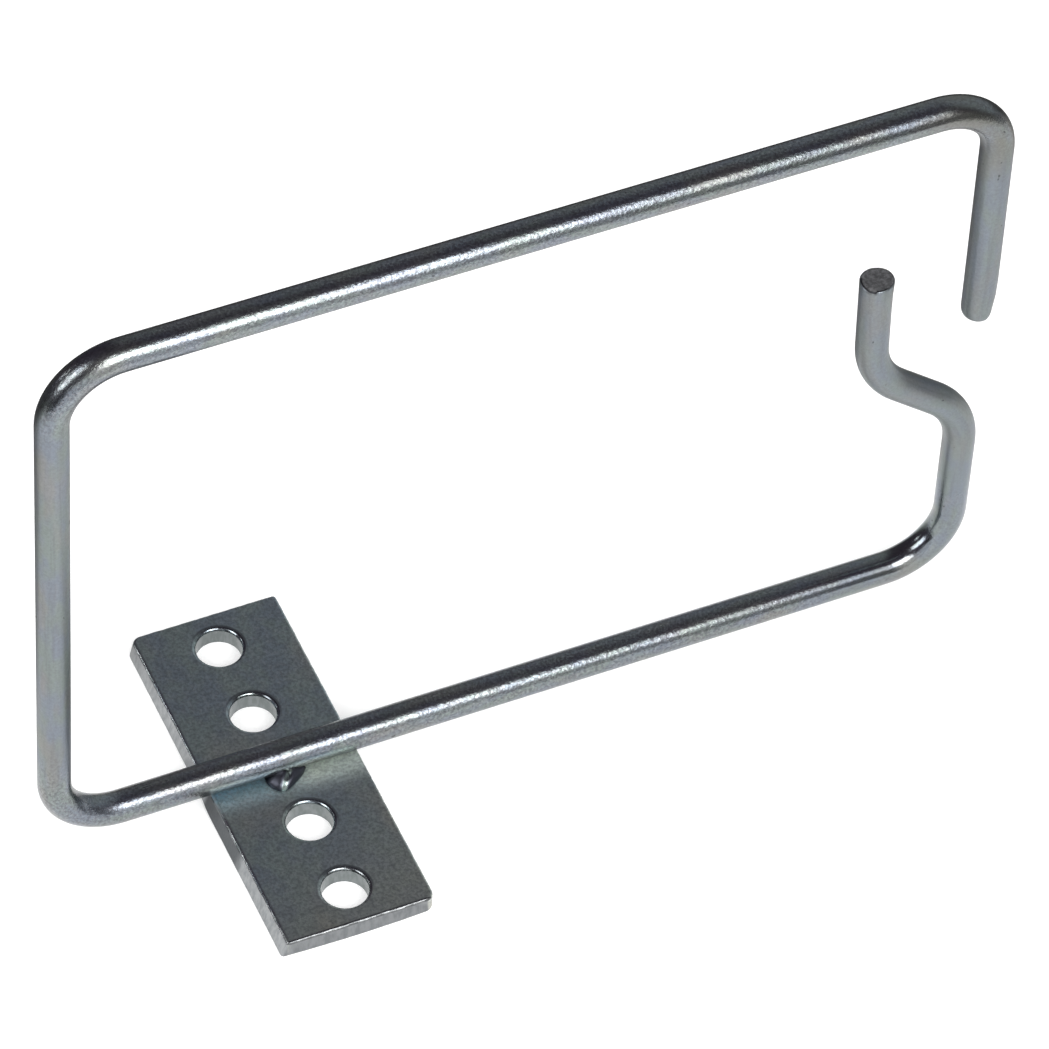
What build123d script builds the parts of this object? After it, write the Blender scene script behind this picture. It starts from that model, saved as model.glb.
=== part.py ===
from build123d import *
import os

# Cable holder: an open rectangular ring bent from one length of steel wire, welded across a
# flat mounting plate. Cables are hooked in past the two free legs on the ring's open side.
#
# Millimetres, +Z up from the surface that the plate is screwed to. The origin is the centre of
# the plate's back face. +X runs along the ring's long bars towards its open side, and +Y along
# the plate. The ring stands in the XZ plane.

# Wire ring
WIRE_D = 5.0            # drawn steel wire
RING_WIDTH = 150.0      # over the outsides of the closed side and the open side
RING_HEIGHT = 105.0     # over the outsides of the lower and the upper bar
CORNER_BEND_R = 8.0     # inside radius of the four corners
UPPER_LEG_DROP = 48.5   # from the top of the upper bar down to the upper leg's cut end
LOWER_LEG_RISE = 70.0   # from the underside of the lower bar up to the lower leg's cut end
LOWER_LEG_LEAN = 0.5    # how far the lower leg leans inwards at its cut end
JOG_START = 35.0        # from the underside of the lower bar up to the corner of the jog's lower bend
JOG_RISE = 14.5         # from that corner up to the corner of its upper bend
JOG_SHIFT = 16.5        # how far the jog brings the lower leg inwards
JOG_BEND_R = 12.5       # inside radius of the jog's two bends

# Cut ends of the wire
NOSE_LENGTH = 1.2       # chamfer along the upper leg
NOSE_DEPTH = 0.45       # the same chamfer across its end
SHEAR_LENGTH = 6.0      # the side that the shear pulled over, along the upper leg
SHEAR_DEPTH = 0.7       # how far that side is pulled in at the end
BURR_EDGE = 0.2         # broken edge round the lower leg's end

# Mounting plate
PLATE_LENGTH = 62.0
PLATE_WIDTH = 23.5
PLATE_T = 3.0
PLATE_CORNER_R = 1.0    # corners in plan
EDGE_BREAK = 0.3        # broken edges round the blank, front and back
PLATE_SETBACK = 38.5    # from the outside of the ring's closed side to the plate's middle

# Screw holes, four in a row on the plate's centre line
HOLE_D = 7.0
OUTER_HOLE_SPACING = 49.0
INNER_HOLE_SPACING = 22.0
RIM_DRAW = 0.4          # slope that the punch drew round the front rims

# Weld beads, one on each side of the lower bar
BEAD_R = 3.2            # radius of the bead's round foot on the plate
BEAD_HEIGHT = 2.0
BEAD_TOE = 2.1          # how far the foot reaches out past the wire's side
BEAD_ROOT = 1.0         # from the line where wire and plate touch to the start of the weld metal

os.makedirs("parts", exist_ok=True)

# Centre line of the wire
wire_r = WIRE_D / 2
corner_r = CORNER_BEND_R + wire_r
jog_r = JOG_BEND_R + wire_r
ring_foot = PLATE_T
closed_x = wire_r - PLATE_SETBACK
open_x = closed_x + RING_WIDTH - WIRE_D
lower_leg_x = open_x - JOG_SHIFT
lower_bar_z = ring_foot + wire_r
upper_bar_z = ring_foot + RING_HEIGHT - wire_r
lower_end_z = ring_foot + LOWER_LEG_RISE
upper_end_z = ring_foot + RING_HEIGHT - UPPER_LEG_DROP
jog_low_z = ring_foot + JOG_START
jog_high_z = jog_low_z + JOG_RISE

with BuildPart() as wire_ring:
    with BuildLine(Plane.XZ) as centre_line:
        FilletPolyline(
            (lower_leg_x - LOWER_LEG_LEAN, lower_end_z),
            (lower_leg_x, jog_high_z),
            (open_x, jog_low_z),
            (open_x, lower_bar_z),
            (closed_x, lower_bar_z),
            (closed_x, upper_bar_z),
            (open_x, upper_bar_z),
            (open_x, upper_end_z),
            radius=[jog_r, jog_r, corner_r, corner_r, corner_r, corner_r],
        )
    with BuildSketch(Plane(origin=centre_line.line @ 0, z_dir=centre_line.line % 0)):
        Circle(wire_r)
    sweep()

    cut_ends = wire_ring.faces().filter_by(GeomType.PLANE).sort_by(Axis.X)
    lower_leg_end = cut_ends[0]
    upper_leg_end = cut_ends[-1]
    chamfer(lower_leg_end.edges(), length=BURR_EDGE)
    chamfer(upper_leg_end.edges(), length=NOSE_DEPTH, length2=NOSE_LENGTH, reference=upper_leg_end)

    # The shear that cropped the wire left the outer side of the upper leg's end drawn inwards.
    with BuildSketch(Plane.XZ):
        with BuildLine():
            Polyline(
                (open_x + wire_r - SHEAR_DEPTH, upper_end_z),
                (open_x + wire_r, upper_end_z + SHEAR_LENGTH),
                (open_x + wire_r, upper_end_z),
                close=True,
            )
        make_face()
    extrude(amount=wire_r, both=True, mode=Mode.SUBTRACT)

wire_ring.part.label = "wire_ring"
export_step(wire_ring.part, "parts/wire_ring.step")

# One flat blank, punched from the front. The punch drew the front rims of the holes down.
hole_rows = [
    side * spacing / 2
    for spacing in (OUTER_HOLE_SPACING, INNER_HOLE_SPACING)
    for side in (-1, 1)
]

with BuildPart() as mounting_plate:
    with BuildSketch():
        RectangleRounded(PLATE_WIDTH, PLATE_LENGTH, PLATE_CORNER_R)
    extrude(amount=PLATE_T)
    front_and_back = mounting_plate.faces().filter_by(Axis.Z)
    chamfer(front_and_back.edges(), length=EDGE_BREAK)

    with Locations(*[(0, row, PLATE_T) for row in hole_rows]):
        Hole(HOLE_D / 2)
    front_face = mounting_plate.faces().sort_by(Axis.Z)[-1]
    chamfer(front_face.inner_wires().edges(), length=RIM_DRAW)

mounting_plate.part.label = "mounting_plate"
export_step(mounting_plate.part, "parts/mounting_plate.step")

# Each bead is a cap of weld metal that lies on the plate and against the side of the lower bar.
bead_cap_r = (BEAD_R**2 + BEAD_HEIGHT**2) / (2 * BEAD_HEIGHT)
bead_y = wire_r + BEAD_TOE - BEAD_R

for bead_name, side in (("front_weld", -1), ("rear_weld", 1)):
    with BuildPart() as weld_bead:
        with Locations((0, side * bead_y, PLATE_T + BEAD_HEIGHT - bead_cap_r)):
            Sphere(bead_cap_r)
        split(bisect_by=Plane.XY.offset(PLATE_T), keep=Keep.TOP)
        root_plane = Plane(origin=(0, side * BEAD_ROOT, PLATE_T), z_dir=(0, side, 0))
        split(bisect_by=root_plane, keep=Keep.TOP)
        add(wire_ring.part, mode=Mode.SUBTRACT)

    weld_bead.part.label = bead_name
    export_step(weld_bead.part, f"parts/{bead_name}.step")
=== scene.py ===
"""Looks of a cable holder: a bent steel wire ring on a punched mounting plate, all zinc plated.

Lengths are metres in the part's own frame. The origin is the centre of the plate's back face, +X
runs along the long bars towards the ring's open side, +Y along the plate, and +Z out of the wall.
"""

import logging
import math
from dataclasses import dataclass
from enum import Enum
from functools import reduce
from typing import Any, Iterable, Sequence, Union

import bmesh
import bpy
from bmesh.types import BMEdge, BMesh, BMVert
from bpy.types import Material, NodeSocket, Object, World
from mathutils import Matrix, Vector, noise


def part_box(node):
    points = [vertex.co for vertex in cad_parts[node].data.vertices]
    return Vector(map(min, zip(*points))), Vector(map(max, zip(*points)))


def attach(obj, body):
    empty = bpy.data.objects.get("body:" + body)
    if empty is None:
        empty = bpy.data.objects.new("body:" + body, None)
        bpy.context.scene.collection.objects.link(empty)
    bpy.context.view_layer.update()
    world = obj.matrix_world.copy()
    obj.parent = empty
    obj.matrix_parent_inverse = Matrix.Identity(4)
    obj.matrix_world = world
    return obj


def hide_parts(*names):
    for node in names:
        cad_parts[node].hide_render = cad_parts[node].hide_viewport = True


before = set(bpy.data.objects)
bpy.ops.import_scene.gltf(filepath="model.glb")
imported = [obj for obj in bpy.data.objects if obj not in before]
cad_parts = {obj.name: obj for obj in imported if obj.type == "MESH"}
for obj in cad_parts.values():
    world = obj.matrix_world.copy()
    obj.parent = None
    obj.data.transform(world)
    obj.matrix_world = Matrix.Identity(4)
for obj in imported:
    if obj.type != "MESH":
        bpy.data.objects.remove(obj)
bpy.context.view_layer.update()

MM = 0.001
BODY = "root"
WHITE = (1.0, 1.0, 1.0)
BLACK = (0.0, 0.0, 0.0)

# Places closer than this lie together.
TOUCH = 0.01 * MM

# The highest level that a grey can have, when 1 is white.
BRIGHTEST = 2.0

# Power of a rectangular lamp for each square metre and each unit of what it shines.
WATTS_PER_RADIANCE = 4.0

Triple = tuple[float, float, float]
Colour = Triple
Band = tuple[float, float]
Number = Union[float, "Term"]
Settings = dict[str, Any]
Sockets = dict[Union[int, str], Any]

log = logging.getLogger("cable_holder")


class Attribute(Enum):
    """Names of the values that a mesh carries for its finish."""

    LAY = "lay"
    CUT = "cut"
    POLISH = "polish"
    STAIN = "stain"
    MATT = "matt"


class Side(Enum):
    """Sides of the lower bar along Y."""

    NEAR = -1
    FAR = 1


class Term:
    """A shader socket that can be used in Python expressions."""

    def __init__(self, sheet: "NodeSheet", socket: Union[NodeSocket, None]) -> None:
        """Wraps an output socket of a node sheet."""
        self.sheet = sheet
        self.socket = socket

    def _math(self, operation: str, *values: Number) -> "Term":
        """Adds one Math node on these inputs, in order."""
        return self.sheet.add("ShaderNodeMath", {"operation": operation}, dict(enumerate(values)))

    def __add__(self, other: Number) -> "Term":
        """Adds a number or a term."""
        return self._math("ADD", self, other)

    def __radd__(self, other: Number) -> "Term":
        """Adds the term to a number."""
        return self._math("ADD", other, self)

    def __sub__(self, other: Number) -> "Term":
        """Subtracts a number or a term."""
        return self._math("SUBTRACT", self, other)

    def __rsub__(self, other: Number) -> "Term":
        """Subtracts the term from a number."""
        return self._math("SUBTRACT", other, self)

    def __mul__(self, other: Number) -> "Term":
        """Multiplies by a number or a term."""
        return self._math("MULTIPLY", self, other)

    def __rmul__(self, other: Number) -> "Term":
        """Multiplies a number by the term."""
        return self._math("MULTIPLY", other, self)

    def __abs__(self) -> "Term":
        """Takes the absolute value."""
        return self._math("ABSOLUTE", self)

    def smaller(self, other: Number) -> "Term":
        """Takes the smaller of this and another value."""
        return self._math("MINIMUM", self, other)

    def larger(self, other: Number) -> "Term":
        """Takes the larger of this and another value."""
        return self._math("MAXIMUM", self, other)

    def hypot(self, other: "Term") -> "Term":
        """Takes the length of the right triangle's long side over this and another term."""
        total = self * self + other * other
        return total._math("SQRT", total)

    def sibling(self, output: Union[int, str]) -> "Term":
        """Takes another output of the same node, by name or number."""
        return Term(self.sheet, self.socket.node.outputs[output])

    def ramp(self, start: float, end: float) -> "Term":
        """Rises smoothly from 0 where this equals start to 1 where it equals end.

        Args:
            start: The value that gives 0.
            end: The value that gives 1. It may be the smaller one.

        Returns:
            The ramp, limited to 0 and 1.
        """
        settings = {"interpolation_type": "SMOOTHSTEP", "clamp": True}
        low, high = min(start, end), max(start, end)
        rising = self.sheet.add(
            "ShaderNodeMapRange", settings, {"Value": self, "From Min": low, "From Max": high}
        )
        return rising if start < end else 1 - rising


@dataclass(frozen=True)
class Pattern:
    """A noise: waves per metre, octaves above the first, their strength, its stretch and shift."""

    scale: float
    detail: float = 2.0
    roughness: float = 0.5
    stretch: Triple = (1.0, 1.0, 1.0)
    shift: Triple = (0.0, 0.0, 0.0)


@dataclass(frozen=True)
class Tint:
    """A colour laid over another one: where its mask starts and is full, and the share it covers."""

    colour: Colour
    band: Band
    share: float = 1.0


class NodeSheet:
    """The node tree of one material or world."""

    def __init__(self, owner: Union[Material, World]) -> None:
        """Empties the owner's node tree.

        Args:
            owner: The material or world to draw on.
        """
        owner.use_nodes = True
        in_world = isinstance(owner, World)
        self.output = "ShaderNodeOutputWorld" if in_world else "ShaderNodeOutputMaterial"
        self.tree = owner.node_tree
        self.tree.nodes.clear()

    def add(
        self,
        kind: str,
        settings: Union[Settings, None] = None,
        sockets: Union[Sockets, None] = None,
        output: Union[int, str] = 0,
    ) -> Term:
        """Adds any node, sets its properties, then fills or links its inputs.

        Args:
            kind: The node's type.
            settings: Its properties, by name.
            sockets: Values or terms for its inputs, by name or number.
            output: The output to hand back, by name or number.

        Returns:
            That output. A node that ends a tree has none, and gives an empty term.
        """
        node = self.tree.nodes.new(kind)
        for name, value in (settings or {}).items():
            setattr(node, name, value)
        for name, value in (sockets or {}).items():
            if isinstance(value, Term):
                self.tree.links.new(value.socket, node.inputs[name])
            else:
                node.inputs[name].default_value = value
        return Term(self, node.outputs[output] if len(node.outputs) else None)

    def show(self, surface: Term) -> None:
        """Wires a shader to the output."""
        self.add(self.output, sockets={"Surface": surface})

    def mix(self, factor: Number, first: Union[Colour, Term], second: Union[Colour, Term]) -> Term:
        """Mixes two colours.

        Args:
            factor: 0 for the first colour, 1 for the second.
            first: A colour or a colour term.
            second: A colour or a colour term.

        Returns:
            The mixed colour.
        """
        first = first if isinstance(first, Term) else (*first, 1.0)
        second = second if isinstance(second, Term) else (*second, 1.0)
        settings = {"data_type": "RGBA", "clamp_factor": True}
        return self.add("ShaderNodeMix", settings, {0: factor, 6: first, 7: second}, output=2)

    def tint(
        self, below: Union[Colour, Term], tint: Tint, mask: Term, weight: Union[Term, None] = None
    ) -> Term:
        """Lays a tint over a colour, where the mask is in its band and times a second mask."""
        share = mask.ramp(*tint.band) * tint.share
        return self.mix(share * weight if weight else share, below, tint.colour)

    def grey(self, level: Term) -> Term:
        """Turns a level from 0 to BRIGHTEST into a grey."""
        return self.mix(level * (1 / BRIGHTEST), BLACK, (BRIGHTEST, BRIGHTEST, BRIGHTEST))

    def noise(self, place: Term, pattern: Pattern) -> Term:
        """Adds a noise texture.

        Args:
            place: Where to read the noise, as a vector.
            pattern: The noise.

        Returns:
            The noise, from 0 to 1.
        """
        shifted = self.add("ShaderNodeVectorMath", {"operation": "ADD"}, {0: place, 1: pattern.shift})
        stretching = {0: shifted, 1: pattern.stretch}
        sockets = {
            "Vector": self.add("ShaderNodeVectorMath", {"operation": "MULTIPLY"}, stretching),
            "Scale": pattern.scale,
            "Detail": pattern.detail,
            "Roughness": pattern.roughness,
        }
        return self.add("ShaderNodeTexNoise", sockets=sockets)

    def place(self) -> tuple[Term, Term, Term, Term]:
        """Reads the place on the object, as a vector and as X, Y and Z."""
        place = self.add("ShaderNodeTexCoord", output="Object")
        x = self.add("ShaderNodeSeparateXYZ", sockets={"Vector": place})
        return place, x, x.sibling(1), x.sibling(2)

    def attribute(self, name: Attribute, output: str = "Vector") -> Term:
        """Reads a value that the mesh carries, from the output "Vector" or "Fac"."""
        return self.add("ShaderNodeAttribute", {"attribute_name": name.value}, output=output)

    def metal(
        self, colour: Term, roughness: Term, height: Term, depth: float, metallic: Number = 1.0
    ) -> None:
        """Finishes a metal: a Principled shader with a bump, wired to the output.

        Args:
            colour: The base colour.
            roughness: The roughness.
            height: The surface's relief, from 0 to 1.
            depth: How deep that relief is, in metres.
            metallic: 1 for bare plating, less where the colour also takes diffuse light, as on the painted
                reflection of the bar.
        """
        relief = {"Strength": 1.0, "Distance": depth, "Height": height}
        bump = self.add("ShaderNodeBump", sockets=relief)
        sockets = {"Base Color": colour, "Metallic": metallic, "Roughness": roughness, "Normal": bump}
        self.show(self.add("ShaderNodeBsdfPrincipled", sockets=sockets))


@dataclass(frozen=True)
class WireZinc:
    """Bright zinc plating on drawn wire: satin, grainy, with faint streaks along the wire."""

    name: str = "zinc_plated_wire"
    blue: Colour = (0.212, 0.238, 0.276)
    green: Tint = Tint((0.224, 0.258, 0.248), (0.36, 0.64))
    straw: Tint = Tint((0.256, 0.250, 0.232), (0.46, 0.70), 0.65)
    # Painted shade: darkens the matt legs towards the right, past 40 mm along X.
    right_leg_shade: Tint = Tint((0.184, 0.208, 0.226), (40.0 * MM, 80.0 * MM), 0.3)
    streak: Tint = Tint((0.165, 0.172, 0.184), (0.44, 0.72), 0.35)
    dark_grain: Tint = Tint((0.094, 0.090, 0.104), (0.44, 0.62), 0.50)
    light_grain: Tint = Tint((0.470, 0.480, 0.500), (0.50, 0.68), 0.24)
    bend_stain: Tint = Tint((0.170, 0.168, 0.150), (0.25, 0.60), 0.7)
    speck: Tint = Tint((0.085, 0.088, 0.090), (0.765, 0.795), 0.7)
    cut_dark: Colour = (0.165, 0.166, 0.168)
    cut_light: Tint = Tint((0.330, 0.332, 0.336), (0.36, 0.68))
    # Painted shade: the dark line on the lower left of the cut's rim.
    cut_rim_shade: Colour = (0.045, 0.046, 0.050)
    cut_band: Band = (0.0, 0.5)
    cut_rim_band: Band = (0.55, 0.85)

    streaks: Pattern = Pattern(1500.0, 3.0, 0.6, (1.0, 1.0, 0.05))
    clouds: Pattern = Pattern(360.0, 2.0, 0.55, (1.0, 1.0, 0.40))
    patches: Pattern = Pattern(330.0, 2.0, 0.5, (1.0, 1.0, 0.30), (0.5, 0.9, 0.2))
    grain: Pattern = Pattern(2400.0, 2.0, 0.6, (1.0, 1.0, 0.85))
    glints: Pattern = Pattern(2500.0, 1.0, 0.6, (1.0, 1.0, 0.9), (0.8, 0.6, 0.4))
    specks: Pattern = Pattern(1000.0, 1.0, 0.5, (1.0, 1.0, 0.6), (0.31, 0.17, 0.0))
    fracture: Pattern = Pattern(1500.0, 4.0, 0.7, (1.0, 1.0, 1.0), (0.7, 0.2, 0.1))

    matt_calm: float = 0.75
    polish_calm: float = 0.6
    satin: float = 0.205
    gloss: float = 0.13
    streak_roughness: float = 0.05
    cloud_roughness: float = 0.06
    speck_roughness: float = 0.2
    leg_roughness: float = 0.16
    cut_roughness: float = 0.24
    grain_depth: float = 0.042 * MM
    streak_relief: float = 0.1
    fracture_relief: float = 0.5
    speck_relief: float = 0.15

    def material(self) -> Material:
        """Builds the finish.

        Returns:
            The material.
        """
        material = bpy.data.materials.new(self.name)
        sheet = NodeSheet(material)
        lay = sheet.attribute(Attribute.LAY)
        cut = sheet.attribute(Attribute.CUT, "Fac")
        polish = sheet.attribute(Attribute.POLISH, "Fac")
        stain = sheet.attribute(Attribute.STAIN, "Fac")
        matt = sheet.attribute(Attribute.MATT, "Fac")
        _, x, _, _ = sheet.place()

        streaks = sheet.noise(lay, self.streaks)
        clouds = sheet.noise(lay, self.clouds)
        patches = sheet.noise(lay, self.patches)
        grain = sheet.noise(lay, self.grain)
        glints = sheet.noise(lay, self.glints)
        specks = sheet.noise(lay, self.specks)
        fracture = sheet.noise(lay, self.fracture)
        unpolished = 1 - polish * self.polish_calm
        bold = (1 - matt * self.matt_calm) * unpolished

        plating = sheet.tint(self.blue, self.green, clouds)
        # Among these tints, the one masked by X on the matt legs is painted shade.
        for tint, mask, weight in (
            (self.straw, patches, None),
            (self.right_leg_shade, x, matt),
            (self.streak, streaks, None),
            (self.dark_grain, grain, bold),
            (self.light_grain, glints, bold),
            (self.bend_stain, patches, stain),
            (self.speck, specks, None),
        ):
            plating = sheet.tint(plating, tint, mask, weight)
        torn = sheet.tint(self.cut_dark, self.cut_light, fracture)
        rimmed = sheet.mix(cut.ramp(*self.cut_rim_band), self.cut_rim_shade, torn)
        colour = sheet.mix(cut.ramp(*self.cut_band), plating, rimmed)

        dark_specks = specks.ramp(*self.speck.band)
        varied = streaks * self.streak_roughness + clouds * self.cloud_roughness
        satin = self.satin + varied + dark_specks * self.speck_roughness
        glossy = satin - polish * (self.satin - self.gloss)
        roughness = glossy + matt * self.leg_roughness + cut * self.cut_roughness
        torn_relief = fracture * cut * self.fracture_relief - dark_specks * self.speck_relief
        height = grain * unpolished + streaks * self.streak_relief + torn_relief
        sheet.metal(colour, roughness, height, self.grain_depth)
        return material


@dataclass(frozen=True)
class PlateZinc:
    """Zinc plating on cold rolled sheet: mottled satin and bright arrises, with painted shade and a
    painted reflection of the bar.
    """

    half_width: float
    half_length: float
    thickness: float
    hole_radius: float
    hole_rows: tuple[float, float]
    name: str = "zinc_plated_sheet"
    green: Colour = (0.415, 0.500, 0.482)
    blue: Tint = Tint((0.365, 0.432, 0.480), (0.38, 0.62))
    brown: Colour = (0.530, 0.530, 0.460)
    bright: Colour = (0.620, 0.640, 0.645)
    lighter: Tint = Tint(bright, (0.48, 0.66), 0.22)
    dark: Colour = (0.150, 0.165, 0.170)
    duller: Tint = Tint(dark, (0.36, 0.66), 0.20)
    sheared_dark: Colour = (0.225, 0.236, 0.245)
    sheared_light: Tint = Tint((0.315, 0.326, 0.333), (0.34, 0.64))
    shaded: Colour = (0.085, 0.092, 0.098)
    bore_dark: Colour = (0.200, 0.222, 0.220)
    bore_light: Tint = Tint((0.255, 0.274, 0.278), (0.36, 0.62))
    near_arris: Colour = (0.125, 0.130, 0.135)
    rim_dark: Colour = (0.130, 0.140, 0.150)
    rim_shade: Tint = Tint(rim_dark, (0.30 * MM, 0.20 * MM), 0.8)
    rim_breaks: Tint = Tint(rim_dark, (0.44, 0.58), 0.65)
    # Colours of the painted reflection of the bar on the plate in front of it, blue on the left and straw
    # on the right.
    reflection_blue: Colour = (0.370, 0.560, 0.640)
    reflection_straw: Colour = (0.660, 0.740, 0.650)

    grain: Pattern = Pattern(2000.0, 2.0, 0.6)
    mottle: Pattern = Pattern(210.0, 3.0, 0.6, (1.0, 0.8, 1.0))
    drift: Pattern = Pattern(80.0, 2.0, 0.5, (1.0, 0.6, 1.0), (0.4, 0.1, 0.0))
    rolled: Pattern = Pattern(900.0, 2.0, 0.5, (1.0, 0.06, 1.0))
    specks: Pattern = Pattern(900.0, 1.0, 0.5, (1.0, 1.0, 1.0), (0.2, 0.5, 0.3))
    tears: Pattern = Pattern(1300.0, 3.0, 0.6, (1.0, 1.0, 0.3))

    warm_from: Band = (8.0 * MM, 38.0 * MM)
    warm_turn: float = 0.5
    warm_share: float = 0.7
    drift_band: Band = (0.48, 0.66)
    drift_share: float = 0.6
    grain_band: Band = (0.42, 0.62)
    grain_share: float = 0.38
    # Band of the painted shade line on the front face, just inside the left and near arrises.
    line_inner: Band = (0.60 * MM, 0.54 * MM)
    line_outer: Band = (0.36 * MM, 0.396 * MM)
    line_top: Band = (0.06 * MM, 0.02 * MM)
    line_breaks: Band = (0.30, 0.55)
    line_share: float = 0.5
    side_reach: float = 0.10 * MM
    near_wall_reach: float = 0.2 * MM
    near_wall_shade: float = 0.36
    bar_shade_from: Band = (15.0 * MM, 12.0 * MM)
    half_blend: float = 1.0 * MM
    bore_reach: float = 0.05 * MM
    bore_relief: float = 0.3
    halo_outer: Band = (0.95 * MM, 0.70 * MM)
    halo_inner: Band = (0.15 * MM, 0.35 * MM)
    halo_way: tuple[float, float] = (0.55, 0.83)
    halo_turn: Band = (-0.5 * MM, 2.5 * MM)
    rim_outer: Band = (0.60 * MM, 0.12 * MM)
    rim_top: Band = (0.55 * MM, 0.40 * MM)
    arris_band: Band = (0.45 * MM, 0.18 * MM)
    near_edge_reach: Band = (0.46 * MM, 0.40 * MM)
    near_edge_top: Band = (0.44 * MM, 0.36 * MM)
    near_edge_share: float = 0.95
    near_edge_calm: float = 0.55
    nick_band: Band = (0.42, 0.60)
    nick_share: float = 0.4
    # Painted reflection of the bar: where it lies, how it is clouded, where it turns straw and how much
    # diffuse light its colour takes.
    bar_reflection_from: Band = (8.2 * MM, 1.5 * MM)
    reflection_clouds: float = 0.7
    reflection_least: float = 0.55
    straw_from: Band = (-4.0 * MM, 5.0 * MM)
    blue_reflection_diffuse: float = 0.11
    straw_reflection_diffuse: float = 0.36

    satin: float = 0.26
    mottle_roughness: float = 0.06
    reflection_roughness: float = 0.16
    rim_burnish: float = 0.10
    nick_burnish: float = 0.08
    grain_depth: float = 0.020 * MM
    rolled_relief: float = 0.2
    pimple_band: Band = (0.66, 0.74)
    pimple_relief: float = 0.15
    tear_relief: float = 1.2

    def _rim_shade(self, x: Term, y: Term) -> tuple[Term, Term]:
        """Works out where the punch drew the sheet down round the holes.

        Args:
            x: The place across the plate.
            y: The place along it.

        Returns:
            The distance from the nearest hole's wall, and the shade on the rims' far sides.
        """
        from_holes, rings = [], []
        for row in [side * row for side in (-1, 1) for row in self.hole_rows]:
            from_hole = x.hypot(y - row) - self.hole_radius
            past = x * self.halo_way[0] + (y - row) * self.halo_way[1]
            ring = from_hole.ramp(*self.halo_outer) * from_hole.ramp(*self.halo_inner)
            from_holes.append(from_hole)
            rings.append(ring * past.ramp(*self.halo_turn))
        return reduce(Term.smaller, from_holes), reduce(Term.larger, rings)

    def material(self) -> Material:
        """Builds the finish.

        Returns:
            The material.
        """
        material = bpy.data.materials.new(self.name)
        sheet = NodeSheet(material)
        place, x, y, z = sheet.place()
        grain = sheet.noise(place, self.grain)
        mottle = sheet.noise(place, self.mottle)
        drift = sheet.noise(place, self.drift)
        rolled = sheet.noise(place, self.rolled)
        specks = sheet.noise(place, self.specks)
        tears = sheet.noise(place, self.tears)

        from_front = self.thickness - z
        from_near = y + self.half_length
        to_near = 0.0 - y
        near_half = to_near.ramp(0.0, self.half_blend)
        from_side = (self.half_width - abs(x)).smaller(self.half_length - abs(y))
        arris = from_side.hypot(from_front).ramp(*self.arris_band)
        side = from_side.ramp(self.side_reach, 0.0)
        near_edge = from_near.ramp(*self.near_edge_reach) * from_front.ramp(*self.near_edge_top)
        nicked = arris * specks.ramp(*self.nick_band) * (1 - near_edge * self.near_edge_calm)
        # Painted shade: a dark line on the front face just inside the left and near arrises, broken by the
        # tears.
        seen_side = (x + self.half_width).smaller(from_near)
        line = seen_side.ramp(*self.line_inner) * seen_side.ramp(*self.line_outer)
        arris_shade_line = line * from_front.ramp(*self.line_top) * tears.ramp(*self.line_breaks)
        left_half = (0.0 - x).ramp(0.0, self.half_blend)
        under_bar = to_near.ramp(*self.bar_shade_from) * near_half * left_half
        from_hole, halo = self._rim_shade(x, y)
        rim = from_hole.ramp(*self.rim_outer) * from_front.ramp(*self.rim_top)
        bore = from_hole.ramp(self.bore_reach, 0.0)
        # Painted reflection: a lighter band on the front face in front of the bar, where the plate mirrors
        # the bar, strongest next to it.
        bar_reflection = to_near.ramp(*self.bar_reflection_from) * near_half
        bar_reflection_share = bar_reflection * (mottle * self.reflection_clouds + self.reflection_least)
        straw = x.ramp(*self.straw_from)

        hues = sheet.tint(self.green, self.blue, mottle)
        warm = (x * self.warm_turn - y).ramp(*self.warm_from) * self.warm_share
        browned = warm + drift.ramp(*self.drift_band) * self.drift_share
        drifted = sheet.mix(browned, hues, self.brown)
        with_bar_reflection = sheet.mix(bar_reflection_share, drifted, sheet.mix(straw, self.reflection_blue, self.reflection_straw))
        dulled = sheet.tint(with_bar_reflection, self.duller, specks)
        lightened = sheet.tint(dulled, self.lighter, tears)
        grain_and_arris_shade = (grain.ramp(*self.grain_band) * self.grain_share).larger(arris_shade_line * self.line_share)
        grained_and_edge_shaded = sheet.mix(grain_and_arris_shade, lightened, self.dark)
        sheared = sheet.tint(self.sheared_dark, self.sheared_light, tears)
        near_wall = from_near.ramp(self.near_wall_reach, 0.0)
        dimmed = sheet.mix(under_bar.larger(near_wall * self.near_wall_shade), sheared, self.shaded)
        sided = sheet.mix(side, grained_and_edge_shaded, dimmed)
        bored = sheet.mix(bore, sided, sheet.tint(self.bore_dark, self.bore_light, tears))
        shadowed = sheet.tint(bored, self.rim_shade, from_front, halo)
        broken = sheet.tint(shadowed, self.rim_breaks, specks, rim)
        edged = sheet.mix(near_edge * self.near_edge_share, broken, self.near_arris)
        colour = sheet.mix(nicked * self.nick_share, edged, self.bright)

        burnished = rim * self.rim_burnish + nicked * self.nick_burnish
        roughness = self.satin + mottle * self.mottle_roughness + bar_reflection_share * self.reflection_roughness - burnished
        relief = grain + rolled * self.rolled_relief + specks.ramp(*self.pimple_band) * self.pimple_relief
        height = relief + side.larger(bore * self.bore_relief) * tears * self.tear_relief
        # Part of the painted reflection's colour takes diffuse light instead of mirroring.
        reflection_diffuse = bar_reflection_share * (straw * (self.straw_reflection_diffuse - self.blue_reflection_diffuse) + self.blue_reflection_diffuse)
        sheet.metal(colour, roughness, height, self.grain_depth, 1 - reflection_diffuse)
        return material


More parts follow.
